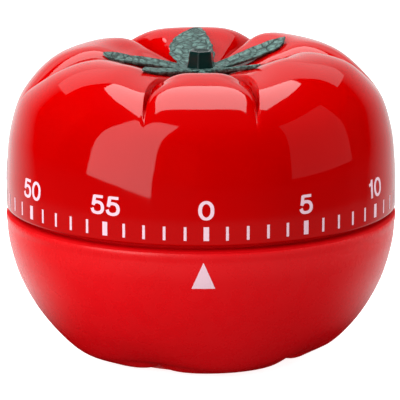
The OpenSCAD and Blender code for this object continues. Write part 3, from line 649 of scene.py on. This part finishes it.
def hexagon(a, z):
    """Six flats with rounded corners."""
    k = (a + math.radians(10)) % (math.pi / 3) - math.pi / 6
    return min(1.0, 0.905 / math.cos(k))


leaves = calyx_leaves()
collar = lathe("calyx_collar", COLLAR, 96, "dial", 50, collar_wobble)
collar.data.materials.append(LEAF)
stem = lathe("calyx_stem", STEM_PROFILE, 120, "dial", 40, hexagon)
stem.data.materials.append(STEM)
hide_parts("calyx")

# ---------------------------------------------------------------- carried-over CAD nodes
FINISHES = [
    (BASE, "base_plate"),
    (HUB, "dial_hub alarm_cam"),
    (STEEL, "base_screws plate_nuts bottom_plate top_plate release_lever"),
    (TURNED, "plate_pillars bell_post main_arbor ratchet_wheel click pallet_lever alarm_wheel hammer"),
    (BLUED, "click_spring lever_spring mainspring"),
    (NICKEL, "bell_cup"),
    (BRASS, "great_wheel second_wheel third_wheel escape_wheel balance_bar"),
    (BRASS, "mainspring_barrel barrel_cover bell_nut"),
]
for finish, names in FINISHES:
    for name in names.split():
        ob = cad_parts[name]
        if len(ob.material_slots) == 0:
            ob.data.materials.append(finish)
        for s in ob.material_slots:
            s.material = finish


# ---------------------------------------------------------------- studio lights
def facing(direction):
    """Rotation of a light or camera that stands in this direction and looks back."""
    return (-direction).to_track_quat("-Z", "Y")


def bearing(az, el=0.0):
    """Unit vector at an azimuth from the front and an elevation, in radians."""
    return Vector((math.sin(az) * math.cos(el), -math.cos(az) * math.cos(el), math.sin(el)))


def area_light(name, az, el, dist, w, h, radiance, glossy=True):
    d = bearing(math.radians(az), math.radians(el))
    light = bpy.data.lights.new(name, "AREA")
    light.shape = "RECTANGLE"
    light.size, light.size_y = w, h
    light.energy = radiance * math.pi * w * h
    ob = bpy.data.objects.new(name, light)
    bpy.context.scene.collection.objects.link(ob)
    ob.location = Vector((0, 0, 0.028)) + d * dist
    ob.rotation_mode = "QUATERNION"
    ob.rotation_quaternion = facing(d)
    ob.visible_camera = False
    ob.visible_glossy = glossy
    return ob


def panel(name, az, low, high, dist, w, radiance, roll=0.0):
    """Upright panel at an azimuth, from one elevation to another as seen from the object."""
    z0, z1 = dist * math.tan(math.radians(low)), dist * math.tan(math.radians(high))
    ob = area_light(name, az, 0, dist, w, z1 - z0, radiance)
    d = bearing(math.radians(az))
    ob.location = d * dist + Vector((0, 0, 0.03 + (z0 + z1) / 2))
    ob.rotation_quaternion = facing(d) @ Matrix.Rotation(math.radians(roll), 3, "Z").to_quaternion()


def stage_object(name, verts):
    """Flat piece of the studio, not of the timer, with one face through all its points."""
    me = bpy.data.meshes.new(name)
    me.from_pydata(verts, [], [tuple(range(len(verts)))])
    ob = bpy.data.objects.new(name, me)
    bpy.context.scene.collection.objects.link(ob)
    return ob


def stage_material(ob, name):
    m = bpy.data.materials.new(name)
    ob.data.materials.append(m)
    nt = empty_tree(m)
    return nt, node(nt, "ShaderNodeOutputMaterial")


def glowing_panel(name, outline, z, radiance):
    """Overhead diffuser of any outline, seen from below."""
    ob = stage_object(name, [(x, y, z) for x, y in outline])
    nt, out = stage_material(ob, name)
    glow = node(nt, "ShaderNodeEmission", Strength=radiance)
    nt.links.new(glow.outputs[0], out.inputs[0])
    ob.visible_camera = False
    ob.visible_shadow = False


panel("key_softbox", -45, -4, 58, 0.6, 0.45, 1.9, roll=-6)
panel("side_panel", 75, -2, 42, 0.6, 0.50, 0.20)
glowing_panel("overhead_softbox", [(-0.30, -0.165), (0.30, -0.165), (0.32, 0.06), (0.29, 0.30), (0.15, 0.43),
                                   (-0.15, 0.43), (-0.29, 0.30), (-0.32, 0.06)], 0.65, 4.1)
glowing_panel("back_scrim", [(-0.30, 0.44), (0.30, 0.44), (0.75, 0.60), (0.75, 1.15), (-0.75, 1.15),
                             (-0.75, 0.60)], 0.651, 0.72)
area_light("front_fill", -30, 12, 1.6, 1.6, 1.2, 1.5, glossy=False)
area_light("left_fill", -115, 24, 1.6, 1.2, 1.2, 2.4, glossy=False)
area_light("right_fill", 115, 4, 1.6, 1.2, 1.2, 3.9, glossy=False)


# ---------------------------------------------------------------- studio surroundings
def compute(nt, operation, *values):
    """Math node of numbers and sockets; gives its output."""
    n = node(nt, "ShaderNodeMath", operation=operation)
    for k, v in enumerate(values):
        if isinstance(v, (int, float)):
            n.inputs[k].default_value = v
        else:
            nt.links.new(v, n.inputs[k])
    return n.outputs[0]


def map_range(nt, src, from_min, from_max, to_min=0.0, to_max=1.0, kind="LINEAR"):
    n = node(nt, "ShaderNodeMapRange", interpolation_type=kind)
    for k, v in (("From Min", from_min), ("From Max", from_max), ("To Min", to_min), ("To Max", to_max)):
        n.inputs[k].default_value = v
    nt.links.new(src, n.inputs[0])
    return n.outputs[0]


def float_curve(nt, src, points):
    n = node(nt, "ShaderNodeFloatCurve")
    pts = n.mapping.curves[0].points
    pts[0].location, pts[1].location = points[0], points[-1]
    for at, value in points[1:-1]:
        pts.new(at, value)
    nt.links.new(src, n.inputs["Value"])
    return n.outputs[0]


def background(nt, strength):
    n = node(nt, "ShaderNodeBackground")
    if isinstance(strength, float):
        n.inputs["Strength"].default_value = strength
    else:
        nt.links.new(strength, n.inputs["Strength"])
    return n.outputs[0]


def mix_shaders(nt, factor, a, b):
    n = node(nt, "ShaderNodeMixShader")
    for k, src in enumerate((factor, a, b)):
        nt.links.new(src, n.inputs[k])
    return n.outputs[0]


def studio_world():
    """White to the camera; a backdrop and a pale table in reflections; soft ambient light on matt surfaces."""
    world = bpy.data.worlds.new("studio")
    bpy.context.scene.world = world
    nt = empty_tree(world)
    out = node(nt, "ShaderNodeOutputWorld")
    tc = node(nt, "ShaderNodeTexCoord")
    way = node(nt, "ShaderNodeSeparateXYZ")
    nt.links.new(tc.outputs["Generated"], way.inputs[0])
    x, y, z = (way.outputs[k] for k in "XYZ")
    # The backdrop stands behind the timer: widest low down, narrowing upwards, brighter on the left.
    sideways = compute(nt, "MULTIPLY", compute(nt, "ABSOLUTE", x), -0.92)
    spread = compute(nt, "MULTIPLY_ADD", z, -0.95, compute(nt, "MULTIPLY_ADD", y, 1.45, sideways))
    backdrop = compute(nt, "MULTIPLY", map_range(nt, spread, -0.1, 1.2, 0.03, 1.3),
                       map_range(nt, x, -0.3, 0.3, 1.0, 0.75))
    backdrop = compute(nt, "MULTIPLY", backdrop, map_range(nt, z, -0.8, -0.5, 0.05, kind="SMOOTHSTEP"))
    # The table shows below the horizon and fades towards the timer's own shadow.
    height = compute(nt, "MULTIPLY_ADD", z, 0.5, 0.5)
    table = float_curve(nt, height, [(0, 0), (0.18, 0.0), (0.30, 0.14), (0.38, 0.14), (0.42, 0.0), (1, 0)])
    ambient = float_curve(nt, height, [(0, 0.30), (0.30, 0.50), (0.47, 0.95), (0.75, 0.50), (1, 0.45)])
    ray = node(nt, "ShaderNodeLightPath")
    seen = background(nt, compute(nt, "ADD", backdrop, table))
    lit = mix_shaders(nt, ray.outputs["Is Diffuse Ray"], seen, background(nt, ambient))
    nt.links.new(mix_shaders(nt, ray.outputs["Is Camera Ray"], lit, background(nt, 1.0)), out.inputs[0])


def white_floor():
    """White floor, clear from below, so that the underside shows."""
    ob = stage_object("floor", [(-4, -4, 0), (4, -4, 0), (4, 4, 0), (-4, 4, 0)])
    nt, out = stage_material(ob, "floor_white")
    matt = node(nt, "ShaderNodeBsdfDiffuse", Color=(0.8, 0.8, 0.8, 1))
    glow = node(nt, "ShaderNodeEmission", Strength=0.86)
    both = node(nt, "ShaderNodeAddShader")
    nt.links.new(matt.outputs[0], both.inputs[0])
    nt.links.new(glow.outputs[0], both.inputs[1])
    side = node(nt, "ShaderNodeNewGeometry")
    clear = node(nt, "ShaderNodeBsdfTransparent")
    nt.links.new(mix_shaders(nt, side.outputs["Backfacing"], both.outputs[0], clear.outputs[0]), out.inputs[0])
    ob.visible_glossy = False
    ob.visible_diffuse = False


def contact_shade():
    """Shaded table under the timer, seen only in its reflections."""
    radius, sides = 0.05, 48
    angles = [2 * math.pi * k / sides for k in range(sides)]
    ob = stage_object("contact_shade", [(radius * math.cos(a), radius * math.sin(a), 0.0002) for a in angles])
    nt, out = stage_material(ob, "contact_shade")
    dark = node(nt, "ShaderNodeEmission", Color=(0.05, 0.0, 0.0, 1))
    clear = node(nt, "ShaderNodeBsdfTransparent")
    tc = node(nt, "ShaderNodeTexCoord")
    dist = node(nt, "ShaderNodeVectorMath", operation="LENGTH")
    nt.links.new(tc.outputs["Object"], dist.inputs[0])
    fade = map_range(nt, dist.outputs["Value"], 0.024, 0.049, kind="SMOOTHSTEP")
    nt.links.new(mix_shaders(nt, fade, dark.outputs[0], clear.outputs[0]), out.inputs[0])
    ob.visible_camera = False
    ob.visible_diffuse = False
    ob.visible_shadow = False


studio_world()
white_floor()
contact_shade()

# ---------------------------------------------------------------- camera
CAMERA_EL, CAMERA_AZ, CAMERA_DIST = math.radians(12.8), math.radians(-0.6), 0.80
LOOK_AT = Vector((0, 0, 0.0252))
SENSOR = 36
# Width of what the frame takes in at the object's distance.
FRAME_WIDTH = 66.2916 * MM
cam_data = bpy.data.cameras.new("camera")
cam = bpy.data.objects.new("camera", cam_data)
bpy.context.scene.collection.objects.link(cam)
cam_data.sensor_width = SENSOR
cam_data.lens = SENSOR * CAMERA_DIST / FRAME_WIDTH
cam_data.shift_x, cam_data.shift_y = -0.0025, 0.005
cam_data.clip_start, cam_data.clip_end = 0.05, 50
back = bearing(CAMERA_AZ, CAMERA_EL)
cam.location = LOOK_AT + back * CAMERA_DIST
cam.rotation_mode = "QUATERNION"
cam.rotation_quaternion = facing(back)
bpy.context.scene.camera = cam
bpy.context.scene.view_settings.view_transform = "Standard"
bpy.context.scene.view_settings.look = "None"
